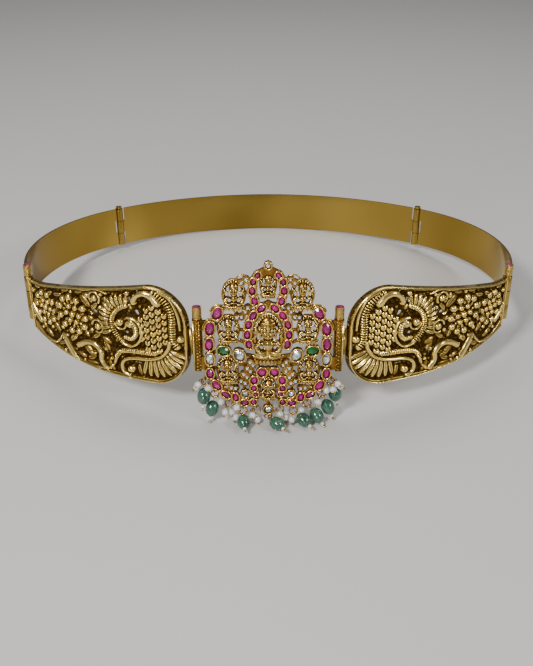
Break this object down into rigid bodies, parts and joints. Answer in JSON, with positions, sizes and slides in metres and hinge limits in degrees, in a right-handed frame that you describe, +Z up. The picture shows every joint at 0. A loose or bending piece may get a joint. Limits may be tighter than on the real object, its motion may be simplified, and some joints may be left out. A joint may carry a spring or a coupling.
{
  "type": "oddiyanam waist belt",
  "caption": "Stiff hinged waist belt with carved gold plates and a jewelled temple pendant hung with green beads and pearls.",
  "frame": {"origin": "on the table, in the middle of the belt's loop between the pendant and the back band", "axes": "+Z up, +X to the right as seen from the front, +Y from the pendant to the back band"},
  "size_m": [0.283, 0.2295, 0.0857],
  "materials": {
    "carved_gold": "antique gold, dark in its recesses and polished on its ridges",
    "band_gold": "polished old gold, mirror bright inside",
    "pin_gold": "matte yellow gold with a fine dimpled texture",
    "setting_gold": "satin gold settings, bright on the edges",
    "figure_gold": "antique cast gold, dark in its recesses",
    "ruby": "magenta red, polished facets",
    "emerald": "deep green, polished facets",
    "clear_stone": "clear uncut stone, silvery inside",
    "crystal": "clear brilliant",
    "green_bead": "translucent green bead with cloudy veins",
    "pearl": "white pearl lustre",
    "ring_gold": "bright orange gold wire",
    "wire_gold": "bright yellow gold"
  },
  "bodies": {
    "pendant": {"pendant_frame": "setting_gold", "centre_figure": "figure_gold", "top_figure": "figure_gold", "bottom_figure": "figure_gold", "upper_left_figure": "figure_gold", "upper_right_figure": "figure_gold", "middle_left_figure": "figure_gold", "middle_right_figure": "figure_gold", "lower_left_figure": "figure_gold", "lower_right_figure": "figure_gold", "top_arch_rubies": "ruby", "middle_arch_rubies": "ruby", "bottom_arch_rubies": "ruby", "left_border_rubies": "ruby", "right_border_rubies": "ruby", "left_emerald": "emerald", "right_emerald": "emerald", "left_border_polki": "clear_stone", "right_border_polki": "clear_stone", "left_inner_polki": "clear_stone", "right_inner_polki": "clear_stone", "left_lower_polki": "clear_stone", "right_lower_polki": "clear_stone", "top_polki": "clear_stone", "bottom_polki": "clear_stone", "crystals": "crystal", "green_bead_1": "green_bead", "green_bead_2": "green_bead", "green_bead_3": "green_bead", "green_bead_4": "green_bead", "green_bead_5": "green_bead", "green_bead_6": "green_bead", "green_bead_7": "green_bead", "green_bead_8": "green_bead", "jump_rings": "ring_gold", "drop_wires": "wire_gold", "pearls": "pearl", "seed_pearls": "pearl"},
    "left_plate": {"left_plate": "carved_gold"},
    "right_plate": {"right_plate": "carved_gold"},
    "left_band": {"left_band": "band_gold", "left_back_rivet": "band_gold"},
    "right_band": {"right_band": "band_gold", "right_back_rivet": "band_gold"},
    "centre_band": {"centre_band": "band_gold"},
    "left_front_pin": {"left_front_pin": "pin_gold", "left_front_ruby": "ruby"},
    "right_front_pin": {"right_front_pin": "pin_gold", "right_front_ruby": "ruby"},
    "left_side_pin": {"left_side_pin": "pin_gold", "left_side_ruby": "ruby"},
    "right_side_pin": {"right_side_pin": "pin_gold", "right_side_ruby": "ruby"}
  },
  "joints": [
    {"name": "left_front_hinge", "type": "hinge", "parent": "pendant", "child": "left_plate", "pos_m": [-0.0343, -0.0982, 0.04099], "axis": [0, 0.1374, 0.9905], "range_deg": [-2.5, 8]},
    {"name": "left_side_hinge", "type": "hinge", "parent": "left_plate", "child": "left_band", "pos_m": [-0.13076, -0.04281, 0.03331], "axis": [0, 0.1374, 0.9905], "range_deg": [-11.52, 3.61]},
    {"name": "left_back_hinge", "type": "hinge", "parent": "left_band", "child": "centre_band", "pos_m": [-0.10145, 0.07408, 0.0171], "axis": [0, 0.1374, 0.9905], "range_deg": [-1.11, 3.52]},
    {"name": "right_front_hinge", "type": "hinge", "parent": "pendant", "child": "right_plate", "pos_m": [0.0343, -0.0982, 0.04099], "axis": [0, 0.1374, 0.9905], "range_deg": [-8.02, 2.52]},
    {"name": "right_side_hinge", "type": "hinge", "parent": "right_plate", "child": "right_band", "pos_m": [0.13076, -0.04281, 0.03331], "axis": [0, 0.1374, 0.9905], "range_deg": [-3.61, 11.52]},
    {"name": "left_front_pin_pull", "type": "slide", "parent": "pendant", "child": "left_front_pin", "axis": [0, 0.1374, 0.9905], "range_m": [0, 0.03]},
    {"name": "right_front_pin_pull", "type": "slide", "parent": "pendant", "child": "right_front_pin", "axis": [0, 0.1374, 0.9905], "range_m": [0, 0.03]},
    {"name": "left_side_pin_pull", "type": "slide", "parent": "left_plate", "child": "left_side_pin", "axis": [0, 0.1374, 0.9905], "range_m": [0, 0.03]},
    {"name": "right_side_pin_pull", "type": "slide", "parent": "right_plate", "child": "right_side_pin", "axis": [0, 0.1374, 0.9905], "range_m": [0, 0.03]}
  ],
  "couplings": [
    {"joint": "left_side_hinge", "follows": "left_front_hinge", "ratio": -1.4374},
    {"joint": "left_back_hinge", "follows": "left_front_hinge", "ratio": 0.4374},
    {"joint": "right_front_hinge", "follows": "left_front_hinge", "ratio": -1},
    {"joint": "right_side_hinge", "follows": "left_front_hinge", "ratio": 1.4374}
  ]
}
